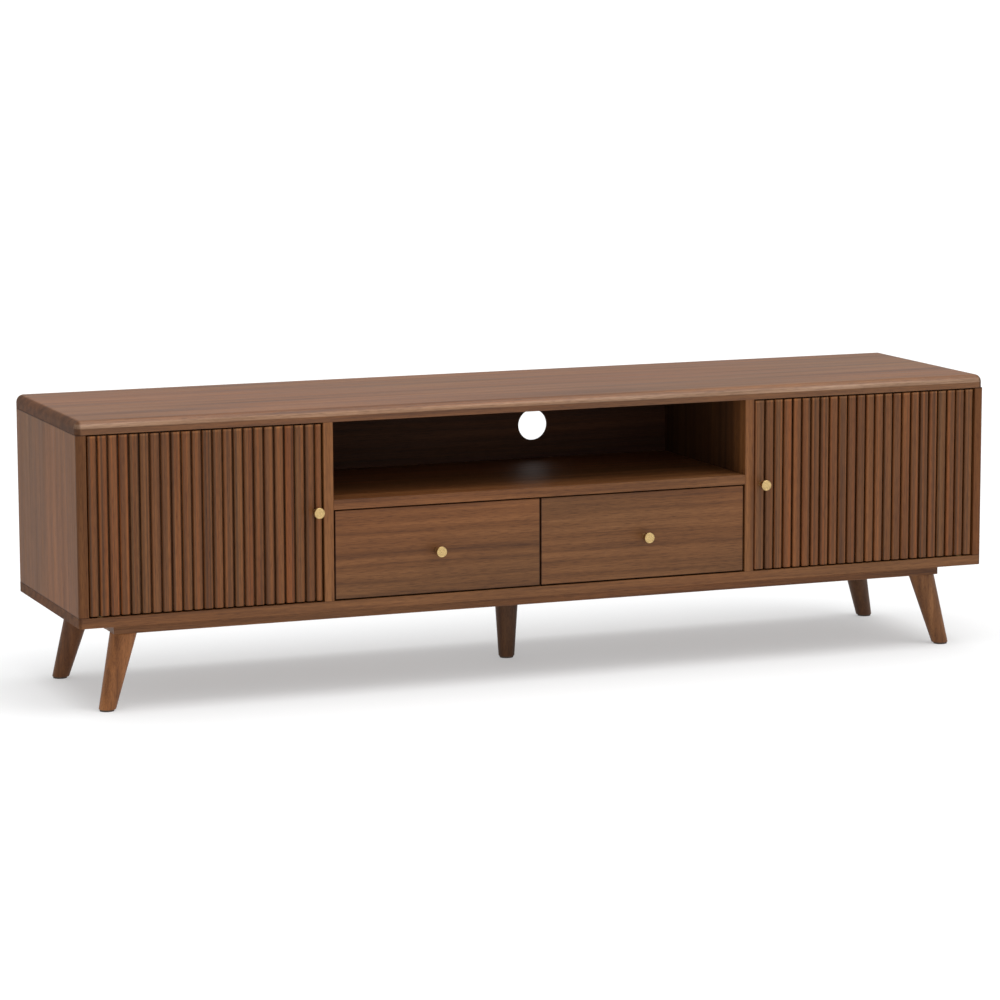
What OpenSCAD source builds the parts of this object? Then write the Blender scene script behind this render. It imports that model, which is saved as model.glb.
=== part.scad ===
// Low TV stand: a slatted door at each end, an open niche over two drawers in the middle.
// Origin on the floor under the middle of the whole piece, +X right, +Y back, +Z up.

/* [Body] */
// Width of the top board
body_w = 1800; // [1700:10:1900]
// Depth of the top board
body_d = 420; // [410:5:460]
// Height from the floor to the top of the top board
body_h = 530; // [520:5:560]
// Height of the underside of the bottom board
bottom_z = 160; // [150:5:165]
// Thickness of the top board
top_t = 25; // [22:1:28]
// Radius along the upper edges of the top board
top_round = 14; // [8:1:16]
// Thickness of the sides, the bottom, the dividers and the niche shelf
board_t = 18; // [17:1:19]
// Radius along the lower end edges of the bottom board
bottom_round = 9; // [4:1:12]
// Radius of the front corners of the sides and the bottom board, seen from above
side_round = 7; // [3:0.5:9]
// Radius of the front corners of the top board, seen from above
top_corner = 12; // [6:0.5:13]

/* [Middle bay] */
// Left inner face of the middle bay
bay_left = -424.5; // [-440:0.5:-410]
// Right inner face of the middle bay
bay_right = 394.5; // [380:0.5:410]
// Middle of the joint between the two drawers
drawer_joint_x = -21; // [-40:1:10]
// Top of the niche shelf
shelf_top_z = 363; // [355:1:370]
// How far the niche back stands in from the rear of the body
niche_back_inset = 44; // [30:1:50]
// Thickness of the back boards
back_t = 6; // [5:1:8]
// Thickness of the partition between the drawers
partition_t = 18; // [16:1:20]

/* [Cable hole] */
// Diameter of the cable hole
hole_d = 60; // [50:1:70]
// Sideways position of the cable hole
hole_x = 113; // [-200:1:200]
// Height of the cable hole
hole_z = 428; // [420:1:440]

/* [Doors] */
// Gap beside each door and drawer front
side_gap = 3; // [3:0.1:3.5]
// Gap above and below each door and drawer front
end_gap = 2.5; // [2:0.1:3]
// How far the fronts stand back from the edges of the boards
front_setback = 2; // [1:0.5:3]
// Thickness of the board behind the slats
door_board_t = 14; // [13:1:16]
// Depth of the slats
slat_t = 8; // [7:0.5:9]
// Width of a full slat
slat_w = 16; // [13:0.5:17]
// Radius of the slats' front edges
slat_round = 4; // [2:0.5:5]
// Number of slats on the left door
left_slats = 23; // [20:1:23]
// Width of the slat at the free edge of the left door
left_last_w = 11.5; // [8:0.5:14]
// Number of slats on the right door
right_slats = 24; // [21:1:24]
// Width of the slat at the free edge of the right door
right_last_w = 19.5; // [12:0.5:20]
// Distance of the pivot from the door's outer edge
pivot_in = 21; // [21:0.5:24]
// Distance of the pivot behind the front of the slats
pivot_back = 13; // [12:0.5:13]
// Diameter of the pivot pins
pin_d = 6; // [5:0.5:6]

/* [Knobs] */
// Diameter of the knobs
knob_d = 20; // [18:1:24]
// How far the knobs stand out
knob_out = 25; // [22:1:28]
// Distance of a door knob from the door's free edge
knob_inset = 13; // [12:1:16]
// Height of the door knobs
door_knob_z = 344; // [330:1:370]
// How far the drawer knobs stand out from the middle of their fronts, away from each other
drawer_knob_apart = 2.5; // [0:0.5:6]
// How far the drawer knobs sit below the middle of their fronts
drawer_knob_drop = 2.5; // [0:0.5:6]

/* [Drawers] */
// Thickness of the drawer fronts
drawer_front_t = 18; // [17:1:20]
// Thickness of the drawer sides and backs
drawer_side_t = 12; // [10:1:15]
// Length of the drawer sides
drawer_len = 320; // [305:5:325]
// Height of the drawer sides
drawer_side_h = 112; // [90:1:118]
// Length of the drawer slides
slide_len = 300; // [280:5:300]

/* [Frame and legs] */
// Sideways position of the legs at the frame
leg_top_x = 803; // [780:1:810]
// Front to back position of the legs at the frame, from the middle of the body
leg_top_y = 148; // [135:1:150]
// How far each leg splays sideways
leg_splay_x = 37; // [10:1:40]
// How far each leg splays front to back
leg_splay_y = 14; // [0:1:20]
// Diameter of the legs at the frame
leg_top_d = 48; // [42:1:50]
// Diameter of the legs at the floor
leg_foot_d = 30; // [26:1:36]
// Sideways position of the centre leg
centre_leg_x = 5; // [-30:1:30]
// Front to back position of the centre leg, from the middle of the body
centre_leg_y = 30; // [-30:1:30]
// Width of the frame's rails
rail_w = 60; // [56:1:66]
// Thickness of the frame's rails
rail_t = 21; // [16:1:22]
// Thickness of the glides under the legs
glide_t = 3; // [2:0.5:4]

/* [Hidden] */
$fn = 48;
cut = 0.5;

walnut = "#7a5640";
walnut_top = "#8d6f5c";
walnut_dark = "#5d4332";
birch = "#cdb48c";
brass = "#dcc07e";
steel = "#a9adb2";
felt = "#4a4038";

// Body
half_w = body_w / 2;
side_in = half_w - board_t;
front_edge = (knob_out - front_setback - body_d) / 2;
rear_edge = front_edge + body_d;
mid_y = (front_edge + rear_edge) / 2;
top_z = body_h - top_t;
floor_z = bottom_z + board_t;
inner_h = top_z - floor_z;
shelf_z = shelf_top_z - board_t;
div_left = bay_left - board_t;
div_right = bay_right + board_t;
niche_back_y = rear_edge - niche_back_inset - back_t;
cupboard_back_y = rear_edge - 12 - back_t;
groove = 8;

// Fronts
front_y = front_edge + front_setback;
door_lo = floor_z + end_gap;
door_hi = top_z - end_gap;
drawer_hi = shelf_z - end_gap;
left_door = [-side_in + side_gap, div_left - side_gap];
right_door = [div_right + side_gap, side_in - side_gap];
left_front = [bay_left + side_gap, drawer_joint_x - side_gap / 2];
right_front = [drawer_joint_x + side_gap / 2, bay_right - side_gap];
door_back_y = front_y + slat_t + door_board_t;
drawer_back_y = front_y + drawer_front_t;
left_knob = [left_door[1] - knob_inset, door_knob_z];
right_knob = [right_door[0] + knob_inset, door_knob_z];
drawer_knob_z = (door_lo + drawer_hi) / 2 - drawer_knob_drop;
left_drawer_knob_at = [(left_front[0] + left_front[1]) / 2 - drawer_knob_apart, drawer_knob_z];
right_drawer_knob_at = [(right_front[0] + right_front[1]) / 2 + drawer_knob_apart, drawer_knob_z];

// Knobs and their screws
knob_base_d = 10;
knob_base_t = 1.5;
knob_neck_d = 9;
knob_head_t = 8;
knob_edge = 1.5;
knob_thread = 12;
knob_screw_d = 4;
knob_screw_hole = 4.5;
knob_screw_head_d = 8;
knob_screw_head_t = 2.5;

// Door pivots
pivot_y = front_y + pivot_back;
left_pivot_x = left_door[0] + pivot_in;
right_pivot_x = right_door[1] - pivot_in;
pin_grip = 12;
pin_reach = 7;
pin_play = 0.05;
collar_d = 9;
bush_d = 10;
bush_deep = 9;
flange_d = 14;
flange_t = 1;

// Door catches
catch_w = 36;
left_catch_x = left_door[1] - 40;
right_catch_x = right_door[0] + 40;
catch_h = 15;
catch_d = 17;
strike_t = 1;
strike_gap = 0.3;

// Drawer bays, each between the two walls that carry its slides
left_bay = [bay_left, drawer_joint_x - partition_t / 2];
right_bay = [drawer_joint_x + partition_t / 2, bay_right];
partition_y = drawer_back_y + 3;
drawer_side_z = door_lo + 18;
drawer_end_y = drawer_back_y + drawer_len;
drawer_floor_z = drawer_side_z + 8;
drawer_floor_t = 5;
drawer_groove = 4;

// Slide members: [start, end] measured from the wall, and height
slide_t = 12.7;
slide_wall_t = 1.2;
slide_y = drawer_back_y + 2;
slide_z = drawer_side_z + drawer_side_h / 2;
fixed_member = [0, 9.5, 45];
middle_member = [3.4, 10.6, 38];
drawer_member = [6.2, slide_t, 31];

// Cupboard shelves
cup_shelf_t = 15;
cup_shelf_z = 330;
cup_shelf_play = 1;
cup_shelf_front = front_edge + 48;
shelf_pin_d = 5;
shelf_pin_grip = 8;
shelf_pin_out = 9;
shelf_pin_y = [front_edge + 80, rear_edge - 60];

// Frame and legs
rail_z = bottom_z - rail_t;
rail_out_y = leg_top_y + leg_top_d / 2;
rail_end_x = leg_top_x + leg_top_d / 2;
leg_bolt_d = 8;
leg_bolt_in = 35;
leg_bolt_up = 15;
glide_d = leg_foot_d - 4;
corners = [[-1, -1], [1, -1], [-1, 1], [1, 1]];
leg_len = norm([leg_splay_x, leg_splay_y, rail_z]);
leg_over = 20;
leg_tilt = atan2(norm([leg_splay_x, leg_splay_y]), rail_z);
leg_turn = atan2(leg_splay_y, leg_splay_x);
frame_screw_d = 4;
frame_screw_head_d = 8;
frame_screw_len = 30;
long_rail_screws = [-620, -310, 0, 310, 620];
cross_rail_x = [-rail_end_x + rail_w / 2, centre_leg_x, rail_end_x - rail_w / 2];
cross_screw_y = [-80, 85];

// Joints of the boards
dowel_d = 8;
dowel_deep = 12;
dowel_y = [front_edge + 60, front_edge + 150, rear_edge - 90];
uprights = [
  board_t / 2 - half_w, div_left + board_t / 2,
  div_right - board_t / 2, half_w - board_t / 2
];
cam_d = 15;
cam_t = 12.5;
cam_up = 24;
cam_bolt_d = 6;
cam_bolt_deep = 11;
cam_y = [front_edge + 105, rear_edge - 135];

// ------------------------------------------------------------------ shared shapes

// Box between two corners
module block(low, high) {
  translate(low) cube(high - low);
}

// Round bars from a point along +Z, +Y and +X
module bar_z(p, d, l) {
  translate(p) cylinder(d = d, h = l);
}

module bar_y(p, d, l) {
  translate(p) rotate([-90, 0, 0]) cylinder(d = d, h = l);
}

module bar_x(p, d, l) {
  translate(p) rotate([0, 90, 0]) cylinder(d = d, h = l);
}

// The same thing on the left and on the right
module both_sides() {
  children();
  mirror([1, 0, 0]) children();
}

// Rectangle from the origin with both corners of its far edge rounded
module two_round(w, h, r) {
  intersection() {
    square([w, h]);
    union() {
      translate([r, 0]) square([w - 2 * r, h]);
      square([w, h - r]);
      translate([r, h - r]) circle(r = r);
      translate([w - r, h - r]) circle(r = r);
    }
  }
}

// Rectangle from the origin with only its corner at (0, h) rounded
module one_round(w, h, r) {
  intersection() {
    square([w, h]);
    union() {
      translate([r, 0]) square([w - r, h]);
      square([w, h - r]);
      translate([r, h - r]) circle(r = r);
    }
  }
}

// ------------------------------------------------------------------ joints of the boards

// Dowels between the uprights and the top and bottom boards
module upright_dowels(xs, zs) {
  for (x = xs, y = dowel_y, z = zs)
    bar_z([x, y, z - dowel_deep], dowel_d, 2 * dowel_deep);
}

// Dowels between the niche shelf and the dividers
module shelf_dowels(xs) {
  for (x = xs, y = dowel_y)
    bar_x([x - dowel_deep, y, shelf_top_z - board_t / 2], dowel_d, 2 * dowel_deep);
}

// Places of the left cams: at the end of the upright, with +Z into the upright
module at_cams(zs) {
  for (y = cam_y, z = zs)
    translate([uprights[0], y, z]) mirror([0, 0, z == top_z ? 1 : 0]) children();
}

module cam_bolt() {
  bar_z([0, 0, -cam_bolt_deep], cam_bolt_d, cam_bolt_deep + cam_up);
}

module cam() {
  bar_x([board_t / 2 - cam_t, 0, cam_up], cam_d, cam_t);
}

// Pins of the cupboard shelves
module shelf_pins_at(xs) {
  for (x = xs, y = shelf_pin_y)
    bar_x([x[0] - (x[1] > 0 ? shelf_pin_grip : shelf_pin_out), y, cup_shelf_z - shelf_pin_d / 2],
      shelf_pin_d, shelf_pin_grip + shelf_pin_out);
}

// Seats of the hinge bushes in the board whose inner face is at z
module bush_seats(z) {
  for (x = [left_pivot_x, right_pivot_x])
    bar_z([x, pivot_y, z == top_z ? z : z - bush_deep], bush_d, bush_deep);
}

// ------------------------------------------------------------------ boards of the body

// Full-size board with its front corners rounded, seen from above
module board_outline(z, t, r) {
  translate([-half_w, rear_edge, z])
    linear_extrude(t) mirror([0, 1]) two_round(body_w, body_d, r);
}

module top_panel() {
  color(walnut_top) difference() {
    intersection() {
      translate([-half_w, rear_edge, top_z]) rotate([90, 0, 0])
        linear_extrude(body_d) two_round(body_w, top_t, top_round);
      translate([-half_w, front_edge, top_z]) rotate([90, 0, 90])
        linear_extrude(body_w) one_round(body_d, top_t, top_round);
      board_outline(top_z, top_t, top_corner);
    }
    upright_dowels(uprights, [top_z]);
    both_sides() at_cams([top_z]) cam_bolt();
    bush_seats(top_z);
  }
}

module bottom_panel() {
  color(walnut) difference() {
    intersection() {
      translate([-half_w, rear_edge, floor_z]) rotate([90, 0, 0])
        linear_extrude(body_d) mirror([0, 1]) two_round(body_w, board_t, bottom_round);
      board_outline(bottom_z, board_t, side_round);
    }
    upright_dowels(uprights, [floor_z]);
    both_sides() at_cams([floor_z]) cam_bolt();
    bush_seats(floor_z);
    frame_screw_set();
  }
}

// Left side board; the right one is its mirror image
module side_board() {
  difference() {
    translate([-half_w, rear_edge, floor_z])
      linear_extrude(inner_h) mirror([0, 1]) one_round(board_t, body_d, side_round);
    block([-side_in - groove, cupboard_back_y, floor_z - cut],
      [-side_in + cut, cupboard_back_y + back_t, top_z + cut]);
    upright_dowels([uprights[0]], [floor_z, top_z]);
    at_cams([floor_z, top_z]) {
      cam_bolt();
      cam();
    }
    shelf_pins_at([[-side_in, 1]]);
  }
}

module left_side_panel() {
  color(walnut) side_board();
}

module right_side_panel() {
  color(walnut) mirror([1, 0, 0]) side_board();
}

// Divider from x0, with its cupboard on its left (dir -1) or on its right (dir 1)
module divider(x0, dir) {
  cup_x = dir < 0 ? x0 : x0 + board_t;
  bay_x = dir < 0 ? x0 + board_t : x0;
  difference() {
    block([x0, front_edge, floor_z], [x0 + board_t, rear_edge, top_z]);
    block([cup_x - groove * (dir < 0 ? 0 : 1), cupboard_back_y, floor_z - cut],
      [cup_x + groove * (dir < 0 ? 1 : 0), cupboard_back_y + back_t, top_z + cut]);
    block([bay_x - groove * (dir < 0 ? 1 : 0), niche_back_y, floor_z - cut],
      [bay_x + groove * (dir < 0 ? 0 : 1), niche_back_y + back_t, top_z + cut]);
    upright_dowels([x0 + board_t / 2], [floor_z, top_z]);
    shelf_dowels([bay_x]);
    shelf_pins_at([[cup_x, dir]]);
  }
}

module left_divider() {
  color(walnut) divider(div_left, -1);
}

module right_divider() {
  color(walnut) divider(bay_right, 1);
}

module niche_shelf() {
  color(walnut) difference() {
    block([bay_left, front_edge, shelf_z], [bay_right, niche_back_y, shelf_top_z]);
    shelf_dowels([bay_left, bay_right]);
  }
}

module drawer_partition() {
  color(walnut) block([left_bay[1], partition_y, floor_z], [right_bay[0], niche_back_y, shelf_z]);
}

// Back board between two uprights, held in their grooves
module back_board(x, y) {
  block([x[0] - groove, y, floor_z], [x[1] + groove, y + back_t, top_z]);
}

module left_back_panel() {
  color(walnut_dark) back_board([-side_in, div_left], cupboard_back_y);
}

module niche_back_panel() {
  color(walnut_dark) difference() {
    back_board([bay_left, bay_right], niche_back_y);
    bar_y([hole_x, niche_back_y - cut, hole_z], hole_d, back_t + 2 * cut);
  }
}

module right_back_panel() {
  color(walnut_dark) back_board([div_right, side_in], cupboard_back_y);
}

// Loose shelf between two uprights
module cupboard_shelf(x) {
  block([x[0] + cup_shelf_play, cup_shelf_front, cup_shelf_z],
    [x[1] - cup_shelf_play, cupboard_back_y - cup_shelf_play, cup_shelf_z + cup_shelf_t]);
}

module left_cupboard_shelf() {
  color(walnut) cupboard_shelf([-side_in, div_left]);
}

module right_cupboard_shelf() {
  color(walnut) cupboard_shelf([div_right, side_in]);
}

module shelf_pins() {
  color(steel) shelf_pins_at([[-side_in, 1], [div_left, -1], [div_right, 1], [side_in, -1]]);
}

// ------------------------------------------------------------------ frame and legs

// The front left corner's children, at the corner whose signs are given; +Y from the middle
module at_corner(signs) {
  translate([0, mid_y, 0]) mirror([signs[0] > 0 ? 1 : 0, 0, 0])
    mirror([0, signs[1] > 0 ? 1 : 0, 0]) children();
}

// Along the leg's axis, from the point where it meets the frame, +Z upwards
module on_corner_leg() {
  translate([-leg_top_x, -leg_top_y, rail_z]) rotate([0, leg_tilt, leg_turn])
    rotate([0, 0, 90]) children();
}

module on_centre_leg() {
  translate([centre_leg_x, mid_y + centre_leg_y, rail_z]) children();
}

module leg_bolt() {
  translate([0, 0, -leg_bolt_in]) cylinder(d = leg_bolt_d, h = leg_bolt_in + leg_bolt_up);
}

// Turned leg with its upper end at the origin, longer than needed by over at both ends
module turned_leg(length, over) {
  taper = (leg_top_d - leg_foot_d) / length;
  translate([0, 0, -length - over])
    cylinder(d1 = leg_foot_d - over * taper, d2 = leg_top_d + over * taper, h = length + 2 * over);
}

// Everything below the glides' upper faces and above the underside of the frame
module off_leg() {
  for (z = [glide_t - body_h, rail_z])
    translate([-body_w, -body_d, z]) cube([2 * body_w, 2 * body_d, body_h]);
}

module corner_leg(signs) {
  color(walnut) at_corner(signs) difference() {
    on_corner_leg() turned_leg(leg_len, leg_over);
    off_leg();
    on_corner_leg() leg_bolt();
  }
}

module front_left_leg() {
  corner_leg([-1, -1]);
}

module front_right_leg() {
  corner_leg([1, -1]);
}

module rear_left_leg() {
  corner_leg([-1, 1]);
}

module rear_right_leg() {
  corner_leg([1, 1]);
}

module centre_leg() {
  color(walnut) difference() {
    on_centre_leg() turned_leg(rail_z, 0);
    off_leg();
    on_centre_leg() leg_bolt();
  }
}

module leg_bolts() {
  color(steel) {
    for (signs = corners) at_corner(signs) on_corner_leg() leg_bolt();
    on_centre_leg() leg_bolt();
  }
}

module foot_glides() {
  color(felt) {
    for (signs = corners) at_corner(signs)
      bar_z([-leg_top_x - leg_splay_x, -leg_top_y - leg_splay_y, 0], glide_d, glide_t);
    bar_z([centre_leg_x, mid_y + centre_leg_y, 0], glide_d, glide_t);
  }
}

// Countersunk screw up through a rail
module frame_screw(x, y) {
  translate([x, y, rail_z]) {
    cylinder(d = frame_screw_d, h = frame_screw_len);
    cylinder(d1 = frame_screw_head_d, d2 = frame_screw_d, h = frame_screw_head_d - frame_screw_d);
  }
}

module frame_screw_set() {
  for (x = long_rail_screws, s = [-1, 1])
    frame_screw(x, mid_y + s * (rail_out_y - rail_w / 2));
  for (x = cross_rail_x, y = cross_screw_y)
    frame_screw(x, mid_y + y);
}

module frame_screws() {
  color(steel) frame_screw_set();
}

// Long rail at the front (side -1) or at the rear (side 1)
module long_rail(side) {
  y = mid_y + side * (rail_out_y - rail_w / 2);
  color(walnut) difference() {
    block([-rail_end_x, y - rail_w / 2, rail_z], [rail_end_x, y + rail_w / 2, bottom_z]);
    for (signs = [[-1, side], [1, side]]) at_corner(signs) on_corner_leg() leg_bolt();
    frame_screw_set();
  }
}

module front_frame_rail() {
  long_rail(-1);
}

module rear_frame_rail() {
  long_rail(1);
}

module frame_cross_rails() {
  reach = rail_out_y - rail_w;
  color(walnut) difference() {
    for (x = cross_rail_x)
      block([x - rail_w / 2, mid_y - reach, rail_z], [x + rail_w / 2, mid_y + reach, bottom_z]);
    on_centre_leg() leg_bolt();
    frame_screw_set();
  }
}

// ------------------------------------------------------------------ fittings of the body

module carcass_dowels() {
  color(birch) {
    upright_dowels(uprights, [floor_z, top_z]);
    shelf_dowels([bay_left, bay_right]);
  }
}

module cam_locks() {
  color(steel) both_sides() at_cams([floor_z, top_z]) difference() {
    cam();
    cam_bolt();
  }
}

module cam_bolts() {
  color(steel) both_sides() at_cams([floor_z, top_z]) cam_bolt();
}

// Flanged bush with its flange at the origin and its barrel along +Z
module bush() {
  difference() {
    union() {
      cylinder(d = bush_d, h = bush_deep);
      translate([0, 0, -flange_t]) cylinder(d = flange_d, h = flange_t);
    }
    translate([0, 0, -flange_t - cut])
      cylinder(d = pin_d + 2 * pin_play, h = bush_deep + flange_t + 2 * cut);
  }
}

module hinge_bushes() {
  color(brass) for (x = [left_pivot_x, right_pivot_x]) {
    translate([x, pivot_y, top_z]) bush();
    translate([x, pivot_y, floor_z]) mirror([0, 0, 1]) bush();
  }
}

module magnetic_catches() {
  y = door_back_y + strike_t + strike_gap;
  color(felt) for (x = [left_catch_x, right_catch_x])
    block([x - catch_w / 2, y, top_z - catch_h], [x + catch_w / 2, y + catch_d, top_z]);
}

// ------------------------------------------------------------------ drawer slides

// Section of a member: open towards the drawer, or towards the wall
module channel(member, open_to_wall) {
  w = member[1] - member[0];
  h = member[2];
  difference() {
    translate([member[0], -h / 2]) square([w, h]);
    translate([member[0] + (open_to_wall ? -slide_wall_t : slide_wall_t), slide_wall_t - h / 2])
      square([w, h - 2 * slide_wall_t]);
  }
}

// The two like members of a drawer, one on each wall of its bay
module slide_members(bay, member, open_to_wall = false) {
  for (side = [0, 1])
    translate([bay[side], slide_y + slide_len, slide_z]) mirror([side, 0, 0])
      rotate([90, 0, 0]) linear_extrude(slide_len) channel(member, open_to_wall);
}

module fixed_slide_members() {
  color(steel) {
    slide_members(left_bay, fixed_member);
    slide_members(right_bay, fixed_member);
  }
}

module left_middle_slide_members() {
  color(steel) slide_members(left_bay, middle_member);
}

module right_middle_slide_members() {
  color(steel) slide_members(right_bay, middle_member);
}

module left_drawer_slide_members() {
  color(steel) slide_members(left_bay, drawer_member, true);
}

module right_drawer_slide_members() {
  color(steel) slide_members(right_bay, drawer_member, true);
}

// ------------------------------------------------------------------ knobs

module knob_section() {
  head_r = knob_d / 2;
  head_from = knob_out - knob_head_t;
  difference() {
    union() {
      square([knob_base_d / 2, knob_base_t]);
      square([knob_neck_d / 2, knob_out - knob_edge]);
      translate([0, head_from]) square([head_r, knob_head_t - knob_edge]);
      translate([0, head_from]) square([head_r - knob_edge, knob_head_t]);
      translate([head_r - knob_edge, knob_out - knob_edge]) circle(r = knob_edge);
    }
    translate([-cut, -cut]) square([knob_screw_d / 2 + cut, knob_thread + cut]);
  }
}

// Knob on a front, at [x, z]
module knob(at) {
  color(brass) translate([at[0], front_y, at[1]]) rotate([90, 0, 0])
    rotate_extrude() knob_section();
}

// Screw of a knob, with its head on the inner face of the front at y
module knob_screw(at, y) {
  color(steel) {
    bar_y([at[0], front_y - knob_thread, at[1]], knob_screw_d, y - front_y + knob_thread);
    bar_y([at[0], y, at[1]], knob_screw_head_d, knob_screw_head_t);
  }
}

module knob_hole(at) {
  bar_y([at[0], front_y - cut, at[1]], knob_screw_hole, drawer_front_t + slat_t + door_board_t);
}

// ------------------------------------------------------------------ doors

module door_pins(x) {
  bar_z([x, pivot_y, door_hi - pin_grip], pin_d, top_z + pin_reach - door_hi + pin_grip);
  bar_z([x, pivot_y, floor_z - pin_reach], pin_d, door_lo + pin_grip - floor_z + pin_reach);
}

// Collar that carries the door on its lower bush
module door_collar(x) {
  low = floor_z + flange_t + pin_play;
  bar_z([x, pivot_y, low], collar_d, door_lo - low);
}

module door_board(x, pivot_x, knob_at) {
  color(walnut_dark) difference() {
    block([x[0], front_y + slat_t, door_lo], [x[1], door_back_y, door_hi]);
    door_pins(pivot_x);
    knob_hole(knob_at);
  }
}

// Slats from the hinged edge of a door, at x[0], to its free edge at x[1]
module door_slats(x, count, last_w, knob_at) {
  dir = sign(x[1] - x[0]);
  pitch = (abs(x[1] - x[0]) - last_w) / (count - 1);
  color(walnut) difference() {
    for (i = [0 : count - 1])
      translate([x[0] + dir * i * pitch, front_y + slat_t, door_lo])
        mirror([dir < 0 ? 1 : 0, 0, 0]) linear_extrude(door_hi - door_lo) mirror([0, 1])
          two_round(i == count - 1 ? last_w : slat_w, slat_t, slat_round);
    knob_hole(knob_at);
  }
}

module pivot_pins(x) {
  color(steel) {
    door_pins(x);
    door_collar(x);
  }
}

module strike_plate(x) {
  color(steel) block([x - catch_w / 2, door_back_y, door_hi - catch_h],
    [x + catch_w / 2, door_back_y + strike_t, door_hi - 1]);
}

module left_door_board() {
  door_board(left_door, left_pivot_x, left_knob);
}

module left_door_slats() {
  door_slats(left_door, left_slats, left_last_w, left_knob);
}

module left_door_pivot_pins() {
  pivot_pins(left_pivot_x);
}

module left_door_knob() {
  knob(left_knob);
}

module left_door_knob_screw() {
  knob_screw(left_knob, door_back_y);
}

module left_strike_plate() {
  strike_plate(left_catch_x);
}

module right_door_board() {
  door_board(right_door, right_pivot_x, right_knob);
}

module right_door_slats() {
  door_slats([right_door[1], right_door[0]], right_slats, right_last_w, right_knob);
}

module right_door_pivot_pins() {
  pivot_pins(right_pivot_x);
}

module right_door_knob() {
  knob(right_knob);
}

module right_door_knob_screw() {
  knob_screw(right_knob, door_back_y);
}

module right_strike_plate() {
  strike_plate(right_catch_x);
}

// ------------------------------------------------------------------ drawers

// Outer faces of a drawer's sides
function box_of(bay) = [bay[0] + slide_t, bay[1] - slide_t];

// Floor of a drawer, held in grooves all round
module drawer_floor(bay) {
  box = box_of(bay);
  reach = drawer_side_t - drawer_groove;
  block([box[0] + reach, drawer_back_y - drawer_groove, drawer_floor_z],
    [box[1] - reach, drawer_end_y - reach, drawer_floor_z + drawer_floor_t]);
}

module drawer_front(x, bay, knob_at) {
  color(walnut) difference() {
    block([x[0], front_y, door_lo], [x[1], drawer_back_y, drawer_hi]);
    drawer_floor(bay);
    knob_hole(knob_at);
  }
}

module drawer_sides(bay) {
  box = box_of(bay);
  color(birch) difference() {
    for (x = [box[0], box[1] - drawer_side_t])
      block([x, drawer_back_y, drawer_side_z],
        [x + drawer_side_t, drawer_end_y, drawer_side_z + drawer_side_h]);
    drawer_floor(bay);
  }
}

module drawer_back(bay) {
  box = box_of(bay);
  color(birch) difference() {
    block([box[0] + drawer_side_t, drawer_end_y - drawer_side_t, drawer_side_z],
      [box[1] - drawer_side_t, drawer_end_y, drawer_side_z + drawer_side_h]);
    drawer_floor(bay);
  }
}

module left_drawer_front() {
  drawer_front(left_front, left_bay, left_drawer_knob_at);
}

module left_drawer_sides() {
  drawer_sides(left_bay);
}

module left_drawer_back() {
  drawer_back(left_bay);
}

module left_drawer_bottom() {
  color(birch) drawer_floor(left_bay);
}

module left_drawer_knob() {
  knob(left_drawer_knob_at);
}

module left_drawer_knob_screw() {
  knob_screw(left_drawer_knob_at, drawer_back_y);
}

module right_drawer_front() {
  drawer_front(right_front, right_bay, right_drawer_knob_at);
}

module right_drawer_sides() {
  drawer_sides(right_bay);
}

module right_drawer_back() {
  drawer_back(right_bay);
}

module right_drawer_bottom() {
  color(birch) drawer_floor(right_bay);
}

module right_drawer_knob() {
  knob(right_drawer_knob_at);
}

module right_drawer_knob_screw() {
  knob_screw(right_drawer_knob_at, drawer_back_y);
}

top_panel();
bottom_panel();
left_side_panel();
right_side_panel();
left_divider();
right_divider();
niche_shelf();
drawer_partition();
left_back_panel();
niche_back_panel();
right_back_panel();
left_cupboard_shelf();
right_cupboard_shelf();
shelf_pins();
front_frame_rail();
rear_frame_rail();
frame_cross_rails();
front_left_leg();
front_right_leg();
rear_left_leg();
rear_right_leg();
centre_leg();
leg_bolts();
foot_glides();
frame_screws();
carcass_dowels();
cam_locks();
cam_bolts();
hinge_bushes();
magnetic_catches();
fixed_slide_members();
left_door_board();
left_door_slats();
left_door_pivot_pins();
left_door_knob();
left_door_knob_screw();
left_strike_plate();
right_door_board();
right_door_slats();
right_door_pivot_pins();
right_door_knob();
right_door_knob_screw();
right_strike_plate();
left_drawer_front();
left_drawer_sides();
left_drawer_back();
left_drawer_bottom();
left_drawer_knob();
left_drawer_knob_screw();
left_drawer_slide_members();
right_drawer_front();
right_drawer_sides();
right_drawer_back();
right_drawer_bottom();
right_drawer_knob();
right_drawer_knob_screw();
right_drawer_slide_members();
left_middle_slide_members();
right_middle_slide_members();
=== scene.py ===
import math
import bmesh
import bpy
from mathutils import Matrix, Vector


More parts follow.
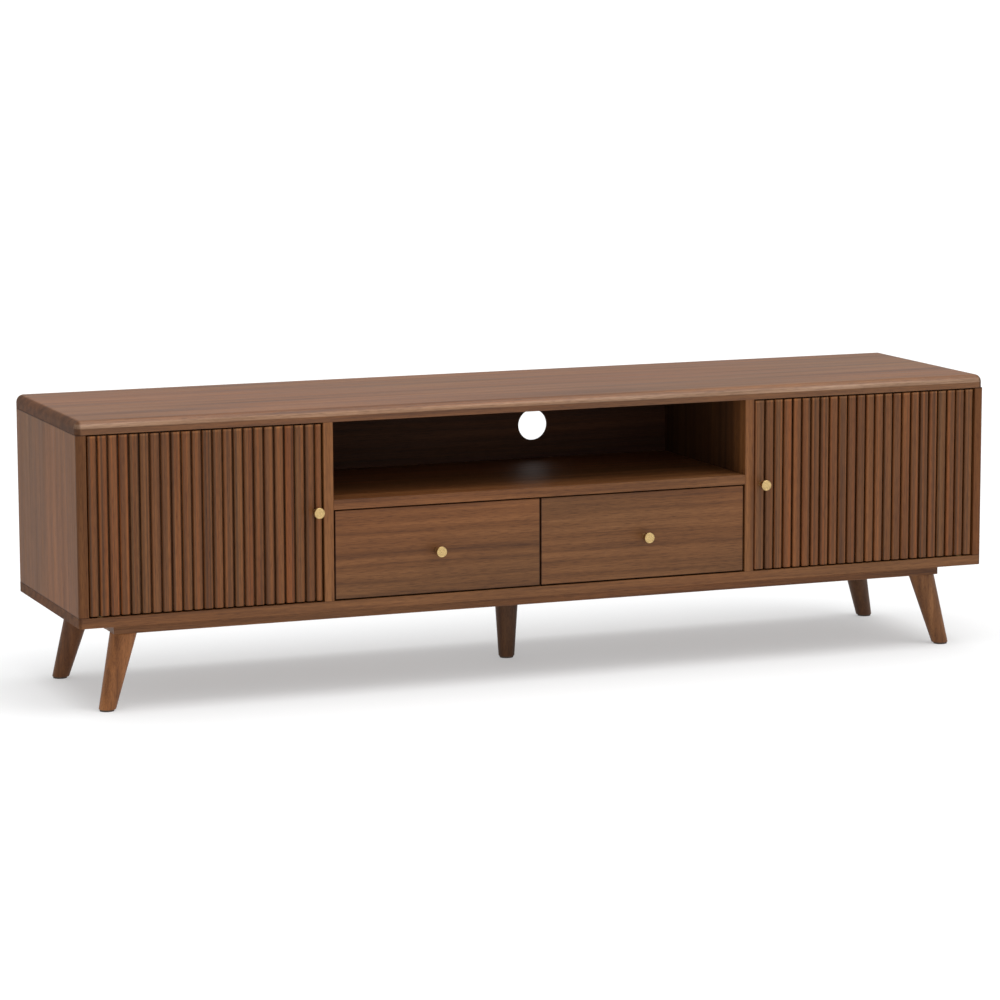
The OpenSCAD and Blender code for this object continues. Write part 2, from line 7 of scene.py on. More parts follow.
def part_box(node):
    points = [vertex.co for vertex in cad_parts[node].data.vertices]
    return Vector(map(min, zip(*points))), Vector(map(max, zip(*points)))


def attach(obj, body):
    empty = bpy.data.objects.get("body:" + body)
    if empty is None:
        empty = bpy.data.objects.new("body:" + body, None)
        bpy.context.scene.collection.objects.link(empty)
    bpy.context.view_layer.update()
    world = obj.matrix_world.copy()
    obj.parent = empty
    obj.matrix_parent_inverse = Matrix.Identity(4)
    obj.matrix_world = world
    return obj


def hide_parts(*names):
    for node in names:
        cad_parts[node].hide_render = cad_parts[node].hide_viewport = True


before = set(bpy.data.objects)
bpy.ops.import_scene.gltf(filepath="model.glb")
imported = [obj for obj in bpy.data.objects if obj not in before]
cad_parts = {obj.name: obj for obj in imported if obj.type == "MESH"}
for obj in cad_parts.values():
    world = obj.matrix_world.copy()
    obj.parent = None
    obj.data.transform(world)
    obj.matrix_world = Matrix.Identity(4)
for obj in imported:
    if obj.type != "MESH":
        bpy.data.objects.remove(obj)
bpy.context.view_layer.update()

# ---------------------------------------------------------------- studio
# The stand is seen from its left end and a little above with a long lens. It stands on a
# wide pale floor lit a little from within, under an overhead light and softer front ones.
CAMERA_AT = (-2.5612, -6.4253, 1.3654)
CAMERA_TURN = -21.55
CAMERA_DIP = 8.67
CAMERA_ROLL = -0.17

scene = bpy.context.scene
scene.view_settings.view_transform = "Standard"
camera = bpy.data.objects.new("camera", bpy.data.cameras.new("camera"))
camera.data.sensor_width = 36
camera.data.lens = 132.9
camera.data.clip_end = 1000
camera.matrix_world = (
    Matrix.Translation(CAMERA_AT)
    @ Matrix.Rotation(math.radians(CAMERA_TURN), 4, "Z")
    @ Matrix.Rotation(math.radians(90 - CAMERA_DIP), 4, "X")
    @ Matrix.Rotation(math.radians(CAMERA_ROLL), 4, "Z")
)
scene.collection.objects.link(camera)
scene.camera = camera


def soft_sun(name, power, spread, height, side):
    """Wide lamp; its spread, height and side, to the right of the front, are in degrees."""
    lamp = bpy.data.objects.new(name, bpy.data.lights.new(name, "SUN"))
    lamp.data.energy = power
    lamp.data.angle = math.radians(spread)
    lamp.rotation_euler = (math.radians(90 - height), 0, math.radians(side))
    scene.collection.objects.link(lamp)


soft_sun("overhead_light", 2.05, 60, 86, 25)
soft_sun("key_light", 0.4, 28, 50, 45)
soft_sun("front_light", 0.65, 100, 42, 5)

# The walls of the studio, a little brighter behind the stand than in front of it
SKY_FRONT = 0.50
SKY_BACK = 0.54
sky = bpy.data.worlds.new("studio")
sky.use_nodes = True
walls = sky.node_tree
direction = walls.nodes.new("ShaderNodeTexCoord")
split = walls.nodes.new("ShaderNodeSeparateXYZ")
shade = walls.nodes.new("ShaderNodeMapRange")
shade.inputs["From Min"].default_value = -1
shade.inputs["To Min"].default_value = SKY_FRONT
shade.inputs["To Max"].default_value = SKY_BACK
walls.links.new(direction.outputs["Generated"], split.inputs["Vector"])
walls.links.new(split.outputs["Y"], shade.inputs["Value"])
walls.links.new(shade.outputs["Result"], walls.nodes["Background"].inputs["Strength"])
walls.nodes["Background"].inputs["Color"].default_value = (1, 1, 1, 1)
scene.world = sky

FLOOR_RADIUS = 400
FLOOR_PAINT = (0.55, 0.55, 0.55, 1)
FLOOR_GLOW = (0.98, 1, 1.01, 1)
floor_shape = bmesh.new()
bmesh.ops.create_circle(floor_shape, cap_ends=True, segments=96, radius=FLOOR_RADIUS)
floor_mesh = bpy.data.meshes.new("floor")
floor_shape.to_mesh(floor_mesh)
floor_shape.free()
floor_paint = bpy.data.materials.new("floor_paint")
floor_paint.use_nodes = True
matt_paint = floor_paint.node_tree.nodes["Principled BSDF"].inputs
matt_paint["Base Color"].default_value = FLOOR_PAINT
matt_paint["Roughness"].default_value = 0.9
matt_paint["Specular IOR Level"].default_value = 0.1
matt_paint["Emission Color"].default_value = FLOOR_GLOW
matt_paint["Emission Strength"].default_value = 0.37
floor_mesh.materials.append(floor_paint)
floor = bpy.data.objects.new("floor", floor_mesh)
scene.collection.objects.link(floor)

# ---------------------------------------------------------------- top board
# One long board of satin-lacquered walnut with its grain along its length. Its edges are
# rounded with a router, the ends showing dull dark end grain. A painted highlight lightens the
# lower front rounding, and painted shade darkens the flat front face below it.
TOP_ROUND = 0.014
EASED = 0.0008
# Painted highlight on the lower part of the front rounding
PAINTED_LIP_HIGHLIGHT = (1.6, 2.35, 4.6)
# Painted shade on the flat front face below the rounding
PAINTED_SHADE_UNDER_LIP = (0.80, 0.79, 0.76)
END_GRAIN = (0.50, 0.47, 0.43)

# Where each tone starts and where it is full: inwards from the edge, or up from the level
# where the rounding starts
LIP_HIGHLIGHT_INWARDS = (0.015, 0.012)
LIP_FOOT = (-0.0004, 0.0002)
LIP_HIGHLIGHT_HEAD = (0.0090, 0.0065)
UNDER_LIP_SHADE_INWARDS = (0.003, 0.0015)
END_INWARDS = (0.0105, 0.0070)

GRAIN_TURN = {"x": (0, 0, 0), "y": (0, 0, -math.pi / 2), "z": (0, math.pi / 2, 0)}


def add(tree, kind, inputs=None, **settings):
    """New shader node with its settings and its unlinked inputs' values."""
    made = tree.nodes.new(kind)
    for key, value in settings.items():
        setattr(made, key, value)
    for key, value in (inputs or {}).items():
        if isinstance(value, bpy.types.NodeSocket):
            tree.links.new(value, made.inputs[key])
        else:
            made.inputs[key].default_value = value
    return made


def ramp(tree, factor, stops):
    """Colour ramp over (place, colour) stops."""
    made = add(tree, "ShaderNodeValToRGB", {"Fac": factor})
    made.color_ramp.elements[0].position = stops[0][0]
    made.color_ramp.elements[0].color = (*stops[0][1], 1)
    made.color_ramp.elements[1].position = stops[-1][0]
    made.color_ramp.elements[1].color = (*stops[-1][1], 1)
    for place, colour in stops[1:-1]:
        made.color_ramp.elements.new(place).color = (*colour, 1)
    return made.outputs["Color"]


def multiply(tree, first, second, factor=1):
    """Colour multiplied by another one, as far as the factor says."""
    return add(tree, "ShaderNodeMix", {"Factor": factor, "A": first, "B": second},
        data_type="RGBA", blend_type="MULTIPLY").outputs["Result"]


WALNUT = ((0.088, 0.031, 0.008), (0.170, 0.066, 0.019), (0.255, 0.108, 0.036))


def wood(name, grain, seed, tones=WALNUT, rough=0.48, shine=0.28, streaks=0.3, strip=None):
    """Lacquered wood with its grain along one axis, cut from its own place in the log.

    strip=(start, pitch) makes each strip across X its own stick with its own tone."""
    material = bpy.data.materials.new(name)
    material.use_nodes = True
    tree = material.node_tree
    shader = tree.nodes["Principled BSDF"]
    shader.inputs["Specular IOR Level"].default_value = shine
    place = add(tree, "ShaderNodeTexCoord").outputs["Object"]
    lay = add(tree, "ShaderNodeMapping", {"Vector": place, "Rotation": GRAIN_TURN[grain],
        "Location": (0.37 * seed, 0.11 * seed, 0.19 * seed)}).outputs["Vector"]
    if strip:
        start, pitch = strip
        across = add(tree, "ShaderNodeSeparateXYZ", {"Vector": place}).outputs["X"]
        shifted = add(tree, "ShaderNodeMath", {0: across, 1: start},
            operation="SUBTRACT").outputs[0]
        count = add(tree, "ShaderNodeMath", {0: shifted, 1: pitch}, operation="DIVIDE").outputs[0]
        number = add(tree, "ShaderNodeMath", {0: count}, operation="FLOOR").outputs[0]
        luck = add(tree, "ShaderNodeTexWhiteNoise", {"W": number}, noise_dimensions="1D")
        away = add(tree, "ShaderNodeVectorMath", {0: luck.outputs["Color"], 1: (3, 3, 3)},
            operation="MULTIPLY").outputs[0]
        lay = add(tree, "ShaderNodeVectorMath", {0: lay, 1: away}, operation="ADD").outputs[0]

    def noise(along, across, detail, rough=0.5, distortion=0, output="Fac"):
        """Noise of the given scales along the grain and across it."""
        stretched = add(tree, "ShaderNodeMapping", {"Vector": lay,
            "Scale": (along, across, across)}).outputs["Vector"]
        return add(tree, "ShaderNodeTexNoise", {"Vector": stretched, "Scale": 1, "Detail": detail,
            "Roughness": rough, "Distortion": distortion}).outputs[output]

    sway = noise(1.1, 6, 1, rough=0.4, output="Color")
    swayed = add(tree, "ShaderNodeVectorMath", {0: sway, 1: (0.0, 0.045, 0.045), 2: lay},
        operation="MULTIPLY_ADD").outputs[0]
    tilted = add(tree, "ShaderNodeMapping", {"Vector": swayed, "Rotation": (0, 0.02, 0.03),
        "Location": (0, 0.05, -0.09)}).outputs["Vector"]
    rings = add(tree, "ShaderNodeTexWave", {"Vector": tilted, "Scale": 17, "Distortion": 0},
        wave_type="RINGS", rings_direction="X").outputs["Fac"]
    broad = noise(1.3, 46, 4, rough=0.65, distortion=0.12)
    fibre = noise(0.7 if strip else 4, 260, 4, rough=0.6)
    pores = noise(50, 1500, 2)
    figure = add(tree, "ShaderNodeMix", {"Factor": 0.10, "A": broad, "B": rings}).outputs["Result"]
    figure = add(tree, "ShaderNodeMix", {"Factor": streaks, "A": figure,
        "B": fibre}).outputs["Result"]
    colour = ramp(tree, figure, ((0.32, tones[0]), (0.49, tones[1]), (0.68, tones[2])))
    flecks = ramp(tree, pores, ((0.36, (0.62, 0.58, 0.56)), (0.50, (1, 1, 1))))
    colour = multiply(tree, colour, flecks)
    cast = ramp(tree, noise(1.1, 5, 1), ((0.35, (0.92, 0.96, 1.02)), (0.65, (1.08, 0.99, 0.93))))
    colour = multiply(tree, colour, cast)
    if strip:
        line = ramp(tree, noise(0.5, 250, 1), ((0.36, (1.24, 1.06, 0.85)), (0.5, (1, 1, 1)),
            (0.64, (0.68, 0.69, 0.74))))
        colour = multiply(tree, colour, line)
        tone = ramp(tree, luck.outputs["Value"], ((0.0, (0.81, 0.80, 0.76)),
            (0.35, (0.84, 0.82, 0.78)), (0.7, (0.88, 0.84, 0.78)), (1.0, (0.92, 0.85, 0.77))))
        colour = multiply(tree, colour, tone)
    tree.links.new(colour, shader.inputs["Base Color"])
    gloss = add(tree, "ShaderNodeMapRange", {"Value": fibre, "From Min": 0.3, "From Max": 0.7,
        "To Min": rough - 0.05, "To Max": rough + 0.09}).outputs["Result"]
    tree.links.new(gloss, shader.inputs["Roughness"])
    height = add(tree, "ShaderNodeMix", {"Factor": 0.5, "A": fibre, "B": pores}).outputs["Result"]
    bump = add(tree, "ShaderNodeBump", {"Height": height, "Strength": 0.25, "Distance": 0.0006})
    tree.links.new(bump.outputs["Normal"], shader.inputs["Normal"])
    return material


def shaded(tones, red, green=None, blue=None):
    """Tones multiplied by a factor for each colour, or all by the first one."""
    factors = (red, red if green is None else green, red if blue is None else blue)
    return tuple(tuple(factor * part for factor, part in zip(factors, tone)) for tone in tones)


def between(material, axis, origin, reach, sense=1):
    """Factor along an axis that goes from 0 to 1 between two distances from an origin."""
    tree = material.node_tree
    place = add(tree, "ShaderNodeTexCoord").outputs["Object"]
    along = add(tree, "ShaderNodeSeparateXYZ", {"Vector": place}).outputs[axis]
    start, full = (origin + distance * sense for distance in reach)
    return add(tree, "ShaderNodeMapRange", {"Value": along, "From Min": start,
        "From Max": full}).outputs["Result"]


def tint(material, colour, rough, *factors):
    """Multiplies the colour and sets the roughness where all the factors are 1."""
    tree = material.node_tree
    shader = tree.nodes["Principled BSDF"]
    where = factors[0]
    for factor in factors[1:]:
        where = add(tree, "ShaderNodeMath", {0: where, 1: factor}, operation="MULTIPLY").outputs[0]
    old = shader.inputs["Base Color"].links[0].from_socket
    tree.links.new(multiply(tree, old, (*colour, 1), where), shader.inputs["Base Color"])
    old = shader.inputs["Roughness"].links[0].from_socket
    new = add(tree, "ShaderNodeMix", {"Factor": where, "A": old, "B": rough}).outputs["Result"]
    tree.links.new(new, shader.inputs["Roughness"])


def block(low, high):
    """Sharp-edged block between two corners."""
    shape = bmesh.new()
    bmesh.ops.create_cube(shape, size=1)
    bmesh.ops.scale(shape, vec=Vector(high) - Vector(low), verts=shape.verts)
    bmesh.ops.translate(shape, vec=(Vector(low) + Vector(high)) / 2, verts=shape.verts)
    return shape


def round_edges(shape, edges, radius, segments):
    """Rounds the given edges."""
    bmesh.ops.bevel(shape, geom=edges, offset=radius, offset_type="OFFSET", segments=segments,
        profile=0.5, affect="EDGES", material=-1, clamp_overlap=True)


def edges_at(shape, **sides):
    """Edges that lie at a coordinate, such as x=0.9 or y=-0.2, all of them at once."""
    axes = {"x": 0, "y": 1, "z": 2}
    return [e for e in shape.edges if all(
        abs(v.co[axes[axis]] - at) < 1e-5 for axis, at in sides.items() for v in e.verts)]


SHARP = 0.6


def ease_edges(shape, radius=EASED, segments=2):
    """Takes the sharpness off every edge that still has one."""
    sharp = [e for e in shape.edges if len(e.link_faces) == 2 and e.calc_face_angle() > SHARP]
    round_edges(shape, sharp, radius, segments)


def fit(name, shape, material, body, slot, *nodes):
    """Makes a piece of a shape, riding on a body in place of its CAD nodes."""
    bmesh.ops.recalc_face_normals(shape, faces=shape.faces)
    mesh = bpy.data.meshes.new(name)
    shape.to_mesh(mesh)
    shape.free()
    mesh.polygons.foreach_set("use_smooth", [True] * len(mesh.polygons))
    mesh.materials.append(material)
    piece = bpy.data.objects.new(name, mesh)
    scene.collection.objects.link(piece)
    piece.modifiers.new("even_shading", "WEIGHTED_NORMAL")
    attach(piece, body)
    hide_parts(*nodes)


low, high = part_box("top_panel")
top = block(low, high)
kept_square = edges_at(top, z=low[2]) + edges_at(top, y=high[1])
front_and_ends = [e for e in top.edges if e not in kept_square]
round_edges(top, front_and_ends, TOP_ROUND, 9)
ease_edges(top)
top_wood = wood("walnut_top", "x", 1.0, rough=0.42, shine=0.40)
round_from = high[2] - TOP_ROUND
# Painted highlight: lightens the lower front rounding
tint(top_wood, PAINTED_LIP_HIGHLIGHT, 0.42, between(top_wood, "Y", low[1], LIP_HIGHLIGHT_INWARDS),
    between(top_wood, "Z", round_from, LIP_FOOT), between(top_wood, "Z", round_from, LIP_HIGHLIGHT_HEAD))
# Painted shade: darkens the flat front face below the rounding
tint(top_wood, PAINTED_SHADE_UNDER_LIP, 0.5, between(top_wood, "Y", low[1], UNDER_LIP_SHADE_INWARDS),
    between(top_wood, "Z", round_from, LIP_FOOT[::-1]))
for end, inwards in ((low[0], 1), (high[0], -1)):
    tint(top_wood, END_GRAIN, 0.85, between(top_wood, "X", end, END_INWARDS, inwards))
fit("walnut_top", top, top_wood, "carcass", "walnut_top", "top_panel")

# ---------------------------------------------------------------- bottom board
# A walnut board under the sides and dividers, its dark end grain rounded along the lower
# edges. It is dowelled to the uprights and screwed to the frame from below.
BOTTOM_ROUND = 0.009
CORNER_ROUND = 0.007
BOTTOM_WALNUT = shaded(WALNUT, 0.93)
BOTTOM_END = (0.66, 0.62, 0.55)
BOTTOM_END_INWARDS = (0.006, 0.003)

low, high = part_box("bottom_panel")
bottom = block(low, high)
round_edges(bottom, edges_at(bottom, x=low[0], y=low[1]) + edges_at(bottom, x=high[0], y=low[1]),
    CORNER_ROUND, 5)
round_edges(bottom, edges_at(bottom, x=low[0], z=low[2]) + edges_at(bottom, x=high[0], z=low[2]),
    BOTTOM_ROUND, 8)
ease_edges(bottom)
bottom_wood = wood("walnut_bottom", "x", 2.3, BOTTOM_WALNUT)
for end, inwards in ((low[0], 1), (high[0], -1)):
    tint(bottom_wood, BOTTOM_END, 0.8, between(bottom_wood, "X", end, BOTTOM_END_INWARDS, inwards))
fit("walnut_bottom", bottom, bottom_wood, "carcass", "walnut", "bottom_panel")

# ---------------------------------------------------------------- side boards
# Upright walnut boards between the top and the bottom, flush with their ends, their grain
# upright. Painted shade darkens the rounded front edges, and a thin band of painted shade lies
# along the joints with the top and the bottom.
PAINTED_EDGE_SHADE = (0.70, 0.66, 0.62)
EDGE_SHADE_INWARDS = (0.0075, 0.0035)
PAINTED_JOINT_SHADE = (0.45, 0.42, 0.40)
JOINT_SHADE_INWARDS = (0.0022, 0.0012)

for side, seed in (("left", 3.1), ("right", 4.7)):
    low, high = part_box(f"{side}_side_panel")
    board = block(low, high)
    outer = low[0] if side == "left" else high[0]
    round_edges(board, edges_at(board, x=outer, y=low[1]), CORNER_ROUND, 6)
    ease_edges(board)
    side_wood = wood(f"walnut_{side}_side", "z", seed, rough=0.55, shine=0.20)
    # Painted shade on the rounded front edge
    tint(side_wood, PAINTED_EDGE_SHADE, 0.6, between(side_wood, "Y", low[1], EDGE_SHADE_INWARDS))
    # Painted shade along the joints with the bottom and the top
    tint(side_wood, PAINTED_JOINT_SHADE, 0.6, between(side_wood, "Z", low[2], JOINT_SHADE_INWARDS))
    tint(side_wood, PAINTED_JOINT_SHADE, 0.6, between(side_wood, "Z", high[2], JOINT_SHADE_INWARDS, -1))
    fit(f"walnut_{side}_side", board, side_wood, "carcass", "walnut", f"{side}_side_panel")

# ---------------------------------------------------------------- dividers and niche shelf
# Two walnut uprights with pale front edges, darkened further in by painted shade, frame the middle
# bay.
# A shelf dowelled between them is the niche's floor; a plain board below carries two slides.
PAINTED_NICHE_SHADE = (0.34, 0.36, 0.34)
NICHE_SHADE_INWARDS = (0.002, 0.09)
SHELF_WALNUT = shaded(WALNUT, 0.89)
LIGHT_WALNUT = shaded(WALNUT, 1.08, 1.02, 0.90)

for name, grain, seed, tones in (
        ("left_divider", "z", 5.2, LIGHT_WALNUT), ("right_divider", "z", 6.6, LIGHT_WALNUT),
        ("niche_shelf", "x", 7.4, SHELF_WALNUT), ("drawer_partition", "y", 8.1, WALNUT)):
    low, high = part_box(name)
    board = block(low, high)
    ease_edges(board)
    material = wood(f"walnut_{name}", grain, seed, tones)
    if tones is LIGHT_WALNUT:
        # Painted shade deepening from the front edge inwards, as in the shaded niche
        tint(material, PAINTED_NICHE_SHADE, 0.7, between(material, "Y", low[1], NICHE_SHADE_INWARDS))
    fit(f"walnut_{name}", board, material, "carcass", "walnut", name)

# ---------------------------------------------------------------- back boards
# Thin boards faced with a darker stained veneer, let into grooves of the uprights. The
# middle one closes the niche and has the round cable hole sawn through it.
STAINED = ((0.024, 0.008, 0.003), (0.055, 0.019, 0.006), (0.090, 0.034, 0.012))
HOLE_EDGE = 0.0006


def finish(name, material):
    """Gives a CAD node its material."""
    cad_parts[name].data.materials.clear()
    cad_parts[name].data.materials.append(material)


backs = {"left_back_panel": 9.3, "niche_back_panel": 10.2, "right_back_panel": 11.8}
for name, seed in backs.items():
    finish(name, wood(f"stained_{name}", "x", seed, STAINED, rough=0.75))
    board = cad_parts[name]
    weld = board.modifiers.new("joined", "WELD")
    weld.merge_threshold = 1e-5
    ease = board.modifiers.new("eased", "BEVEL")
    ease.width = HOLE_EDGE
    ease.segments = 2
    ease.limit_method = "ANGLE"

# ---------------------------------------------------------------- cupboard shelves
# One loose walnut board in each cupboard, with its edges just eased. It lies on four
# zinc-plated steel pins, which are pushed into holes drilled in the uprights.
for side, seed in (("left", 12.4), ("right", 13.9)):
    board = block(*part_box(f"{side}_cupboard_shelf"))
    ease_edges(board)
    shelf_wood = wood(f"walnut_{side}_shelf", "x", seed)
    fit(f"walnut_{side}_shelf", board, shelf_wood, "carcass", "walnut", f"{side}_cupboard_shelf")


def metal(name, colour, rough, grain_scale, dullest=0.86):
    """Bare metal with faint working marks in its colour, its gloss and its surface."""
    material = bpy.data.materials.new(name)
    material.use_nodes = True
    tree = material.node_tree
    shader = tree.nodes["Principled BSDF"]
    shader.inputs["Metallic"].default_value = 1
    place = add(tree, "ShaderNodeTexCoord").outputs["Object"]
    marks = add(tree, "ShaderNodeTexNoise", {"Vector": place, "Scale": grain_scale,
        "Detail": 4}).outputs["Fac"]
    darker = tuple(dullest * part for part in colour)
    tree.links.new(ramp(tree, marks, ((0.3, darker), (0.7, colour))), shader.inputs["Base Color"])
    gloss = add(tree, "ShaderNodeMapRange", {"Value": marks, "From Min": 0.3, "From Max": 0.7,
        "To Min": rough - 0.06, "To Max": rough + 0.08}).outputs["Result"]
    tree.links.new(gloss, shader.inputs["Roughness"])
    bump = add(tree, "ShaderNodeBump", {"Height": marks, "Strength": 0.2, "Distance": 0.0001})
    tree.links.new(bump.outputs["Normal"], shader.inputs["Normal"])
    return material


zinc = metal("zinc_plated_steel", (0.62, 0.63, 0.65), 0.34, 260)
finish("shelf_pins", zinc)

# ---------------------------------------------------------------- frame
# Two long walnut rails under the bottom board with three short ones between them, set back
# from its edges. They are screwed up into the board and take the bolts of the legs.
RAIL_EASED = 0.0012

for name, seed in (("front_frame_rail", 14.2), ("rear_frame_rail", 15.6)):
    rail = block(*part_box(name))
    ease_edges(rail, RAIL_EASED)
    fit(f"walnut_{name}", rail, wood(f"walnut_{name}", "x", seed), "carcass", "walnut", name)
finish("frame_cross_rails", wood("walnut_cross_rails", "y", 16.5))
finish("frame_screws", zinc)

# ---------------------------------------------------------------- legs
# Five turned walnut legs, tapered towards the floor. The corner ones splay outwards, are
# sawn level at both ends, and hang on bolts up through the rails; felt pads protect the floor.
finish("leg_bolts", zinc)
LEG_TOP_R = 0.024
LEG_FOOT_R = 0.015
FOOT_EDGE = 0.0012
OVERLENGTH = 0.12
rail_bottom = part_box("front_frame_rail")[0][2]
pad_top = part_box("foot_glides")[1][2]
middle_y = (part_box("front_frame_rail")[0][1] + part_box("rear_frame_rail")[1][1]) / 2
CORNER_TOP = (0.803, 0.148)
CORNER_FOOT = (0.840, 0.162)
CENTRE_SHIFT = (0.005, 0.030)
CENTRE = (CENTRE_SHIFT[0], middle_y + CENTRE_SHIFT[1])


def turned_leg(name, top_at, foot_at, seed, depth):
    """Leg between its middles at the frame and on the floor; depth scales its wood's tones as
    painted light or shade.
    """
    upper = Vector((*top_at, rail_bottom))
    lower = Vector((*foot_at, 0))
    axis = upper - lower
    extra = (LEG_TOP_R - LEG_FOOT_R) * OVERLENGTH
    leg = bmesh.new()
    bmesh.ops.create_cone(leg, cap_ends=True, segments=64, radius1=LEG_FOOT_R - extra,
        radius2=LEG_TOP_R + extra, depth=axis.length * (1 + 2 * OVERLENGTH))
    turn = axis.to_track_quat("Z", "Y").to_matrix().to_4x4()
    bmesh.ops.transform(leg, matrix=Matrix.Translation((upper + lower) / 2) @ turn, verts=leg.verts)
    for height, outwards in ((pad_top, -1), (rail_bottom, 1)):
        whole = leg.verts[:] + leg.edges[:] + leg.faces[:]
        sawn = bmesh.ops.bisect_plane(leg, geom=whole, dist=1e-6, plane_co=(0, 0, height),
            plane_no=(0, 0, outwards), clear_outer=True)
        rim = [e for e in sawn["geom_cut"] if isinstance(e, bmesh.types.BMEdge)]
        bmesh.ops.edgeloop_fill(leg, edges=rim)
    ease_edges(leg, FOOT_EDGE, 3)
    leg_wood = wood(f"walnut_{name}", "z", seed, shaded(WALNUT, depth))
    fit(f"walnut_{name}", leg, leg_wood, "carcass", "walnut", name)


# The last number scales each leg's tones: painted light on the front legs, painted shade on the
# rear and centre legs under the stand.
for name, across, along, seed, depth in (("front_left_leg", -1, -1, 17.3, 1.5),
        ("front_right_leg", 1, -1, 18.1, 1.08), ("rear_left_leg", -1, 1, 19.7, 0.78),
        ("rear_right_leg", 1, 1, 20.9, 0.5)):
    turned_leg(name, (across * CORNER_TOP[0], middle_y + along * CORNER_TOP[1]),
        (across * CORNER_FOOT[0], middle_y + along * CORNER_FOOT[1]), seed, depth)
turned_leg("centre_leg", CENTRE, CENTRE, 21.6, 0.5)


def matt(name, colour, shade, rough, grain_scale, depth):
    """Matt material with a fine grain, such as felt or moulded plastic."""
    material = bpy.data.materials.new(name)
    material.use_nodes = True
    tree = material.node_tree
    shader = tree.nodes["Principled BSDF"]
    place = add(tree, "ShaderNodeTexCoord").outputs["Object"]
    fuzz = add(tree, "ShaderNodeTexNoise", {"Vector": place, "Scale": grain_scale,
        "Detail": 5}).outputs["Fac"]
    tree.links.new(ramp(tree, fuzz, ((0.35, shade), (0.65, colour))), shader.inputs["Base Color"])
    gloss = add(tree, "ShaderNodeMapRange", {"Value": fuzz, "To Min": rough - 0.08,
        "To Max": rough + 0.08}).outputs["Result"]
    tree.links.new(gloss, shader.inputs["Roughness"])
    bump = add(tree, "ShaderNodeBump", {"Height": fuzz, "Strength": 0.6, "Distance": depth})
    tree.links.new(bump.outputs["Normal"], shader.inputs["Normal"])
    return material


FELT = (0.10, 0.075, 0.055)
FELT_SHADE = (0.05, 0.037, 0.028)
finish("foot_glides", matt("brown_felt", FELT, FELT_SHADE, 0.9, 900, 0.0006))

# ---------------------------------------------------------------- dowels and cams
# Beech dowels and zinc cams hold the boards to one another. They are closed in by the
# boards once the stand is put together.
PALE_WOOD = ((0.46, 0.31, 0.18), (0.60, 0.43, 0.27), (0.70, 0.53, 0.36))
finish("carcass_dowels", wood("dowel_beech", "z", 22.8, PALE_WOOD, rough=0.6))
finish("cam_locks", zinc)
finish("cam_bolts", zinc)

# ---------------------------------------------------------------- hinges and catches
# Each door turns on two steel pins in flanged brass bushes, let into the top and bottom
# boards. A magnet in a moulded case under the top holds a steel plate on the door.
brass = metal("satin_brass", (0.71, 0.497, 0.220), 0.30, 420, 0.60)
finish("hinge_bushes", brass)
CATCH_CASE = (0.060, 0.038, 0.026)
CATCH_SHADE = (0.045, 0.028, 0.019)
finish("magnetic_catches", matt("catch_plastic", CATCH_CASE, CATCH_SHADE, 0.5, 700, 0.0002))
blackened = metal("blackened_steel", (0.09, 0.085, 0.08), 0.5, 300)
for side in ("left", "right"):
    finish(f"{side}_door_pivot_pins", blackened)
    finish(f"{side}_strike_plate", blackened)

# ---------------------------------------------------------------- doors
# A flat walnut board with upright sticks glued side by side on its front, a narrow gap
# between them. Each stick is planed from its own piece, so no two have the same tone.
SLAT_W = 0.016
SLAT_ROUND = 0.004
SLAT_END = 0.0008
# Painted highlight on the top ends of the sticks
PAINTED_CAP_HIGHLIGHT = (1.5, 1.65, 1.9)
CAP_HIGHLIGHT_INWARDS = (0.0045, 0.0030)
# The door board behind the sticks is darkened as painted shade in the gaps between them
GAP_SHADE_WALNUT = shaded(WALNUT, 0.55)

# Number of sticks of each door, and the width of the last one, at the free edge
SLATS = {"left": (23, 0.0115), "right": (24, 0.0195)}

for side, (count, last) in SLATS.items():
    board = block(*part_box(f"{side}_door_board"))
    ease_edges(board)
    # Door board in painted shade, seen only through the gaps
    board_wood = wood(f"walnut_{side}_door", "z", 23.4 + last, GAP_SHADE_WALNUT)
    fit(f"walnut_{side}_door", board, board_wood, f"{side}_door", "walnut", f"{side}_door_board")
    low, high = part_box(f"{side}_door_slats")
    pitch = (high[0] - low[0] - last) / (count - 1)
    sticks = bmesh.new()
    for number in range(count):
        near = number * pitch
        far = near + (last if number == count - 1 else SLAT_W)
        left = low[0] + near if side == "left" else high[0] - far
        right = low[0] + far if side == "left" else high[0] - near
        stick = block((left, low[1], low[2]), (right, high[1], high[2]))
        round_edges(stick, edges_at(stick, x=left, y=low[1]) + edges_at(stick, x=right, y=low[1]),
            SLAT_ROUND, 6)
        ease_edges(stick, SLAT_END, 1)
        loose = bpy.data.meshes.new("stick")
        stick.to_mesh(loose)
        stick.free()
        sticks.from_mesh(loose)
        bpy.data.meshes.remove(loose)
    gap = pitch - SLAT_W
    start = low[0] - gap / 2 if side == "left" else high[0] + gap / 2 - count * pitch
    tone = wood(f"walnut_{side}_slats", "z", 24.5, streaks=0.5, strip=(start, pitch))
    # Painted highlight: lightens the top end of each stick
    tint(tone, PAINTED_CAP_HIGHLIGHT, 0.5, between(tone, "Z", high[2], CAP_HIGHLIGHT_INWARDS, -1))
    fit(f"walnut_{side}_slats", sticks, tone, f"{side}_door", "walnut", f"{side}_door_slats")

# ---------------------------------------------------------------- drawers
# Walnut fronts with level grain, darkened along their sides and bottom edge by painted shade of the
# gaps, screwed to boxes of pale birch boards. The thin bottom slides into a groove round the box.
FRONT_EDGE = 0.0012
FRONT_WALNUT = shaded(WALNUT, 0.86)
PAINTED_GAP_SHADE = (0.45, 0.42, 0.40)
GAP_SHADE_INWARDS = (0.0016, 0.0008)

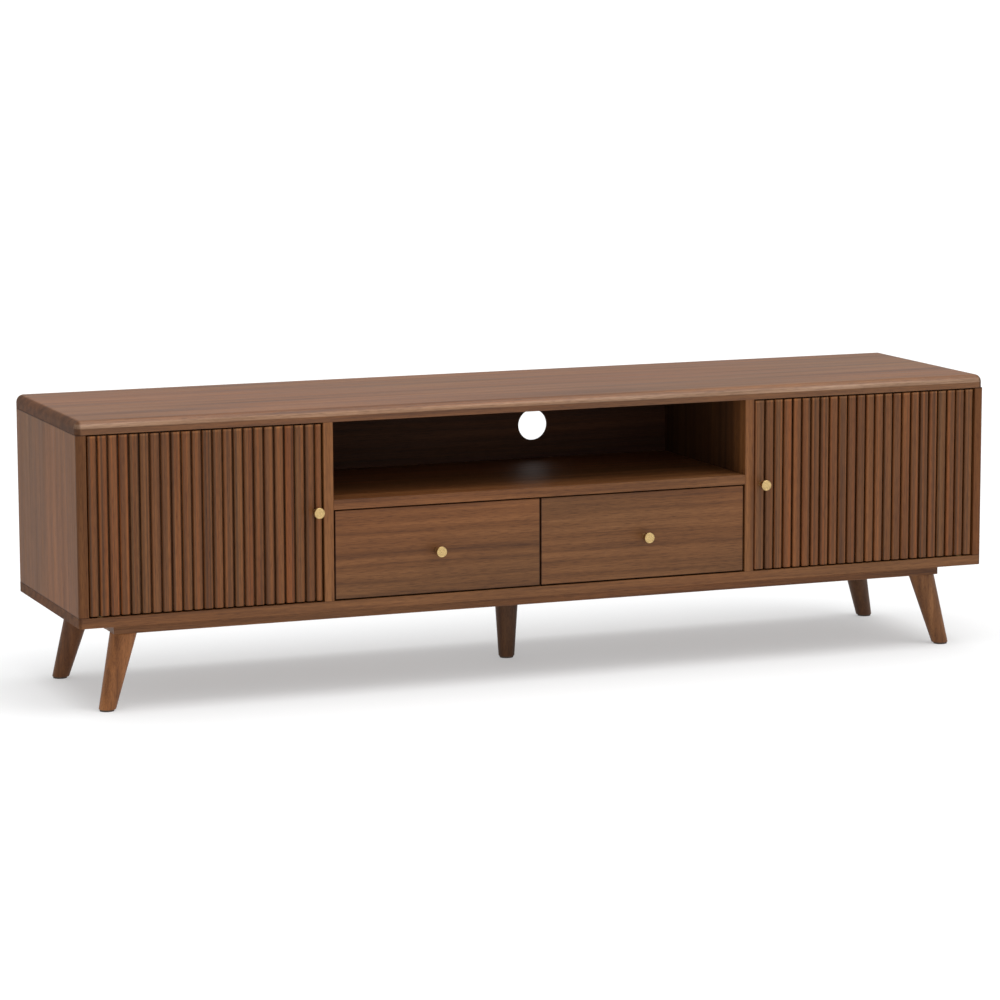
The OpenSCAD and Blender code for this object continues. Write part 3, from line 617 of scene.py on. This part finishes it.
for side, seed in (("left", 25.9), ("right", 27.3)):
    body = f"{side}_drawer"
    low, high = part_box(f"{body}_front")
    front = block(low, high)
    ease_edges(front, FRONT_EDGE, 3)
    front_wood = wood(f"walnut_{body}_front", "x", seed, FRONT_WALNUT)
    # Painted shade of the gaps along the sides and the bottom edge
    for axis, edge, inwards in (("X", low[0], 1), ("X", high[0], -1), ("Z", low[2], 1)):
        tint(front_wood, PAINTED_GAP_SHADE, 0.55, between(front_wood, axis, edge, GAP_SHADE_INWARDS, inwards))
    fit(f"walnut_{body}_front", front, front_wood, body, "walnut", f"{body}_front")
    for part, grain in (("sides", "y"), ("back", "x"), ("bottom", "x")):
        box_wood = wood(f"birch_{body}_{part}", grain, seed + len(part), PALE_WOOD, rough=0.5)
        finish(f"{body}_{part}", box_wood)

# ---------------------------------------------------------------- drawer slides
# Pressed steel members that run inside one another: one on the wall, one on the drawer and
# one between them that comes out half as far.
for name in ("fixed_slide_members", "left_drawer_slide_members", "right_drawer_slide_members",
        "left_middle_slide_members", "right_middle_slide_members"):
    finish(name, zinc)

# ---------------------------------------------------------------- knobs
# Turned brass knobs with a slim neck and a flat round head whose face has a fine rim.
# Each is held by a screw from behind.
KNOB_OUTLINE = ((0, 0), (0.0050, 0), (0.0050, 0.0012), (0.0047, 0.0015), (0.0045, 0.0020),
    (0.0045, 0.0148), (0.0050, 0.0160), (0.0062, 0.0168), (0.0089, 0.0171), (0.0097, 0.0175),
    (0.0100, 0.0182), (0.0100, 0.0236), (0.0098, 0.0243), (0.0094, 0.0248), (0.0089, 0.0250),
    (0.0083, 0.0249), (0.0080, 0.0246), (0.0077, 0.0245), (0, 0.0245))

for body in ("left_door", "right_door", "left_drawer", "right_drawer"):
    finish(f"{body}_knob_screw", zinc)
    low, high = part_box(f"{body}_knob")
    middle = (low + high) / 2
    knob = bmesh.new()
    points = [knob.verts.new((radius, high[1] - out, 0)) for radius, out in KNOB_OUTLINE]
    outline = [knob.edges.new(pair) for pair in zip(points, points[1:])]
    bmesh.ops.spin(knob, geom=points + outline, cent=(0, 0, 0), axis=(0, 1, 0), angle=2 * math.pi,
        steps=64, use_merge=True)
    bmesh.ops.remove_doubles(knob, verts=knob.verts, dist=1e-6)
    bmesh.ops.translate(knob, vec=(middle[0], 0, middle[2]), verts=knob.verts)
    fit(f"brass_{body}_knob", knob, brass, body, "brass", f"{body}_knob")
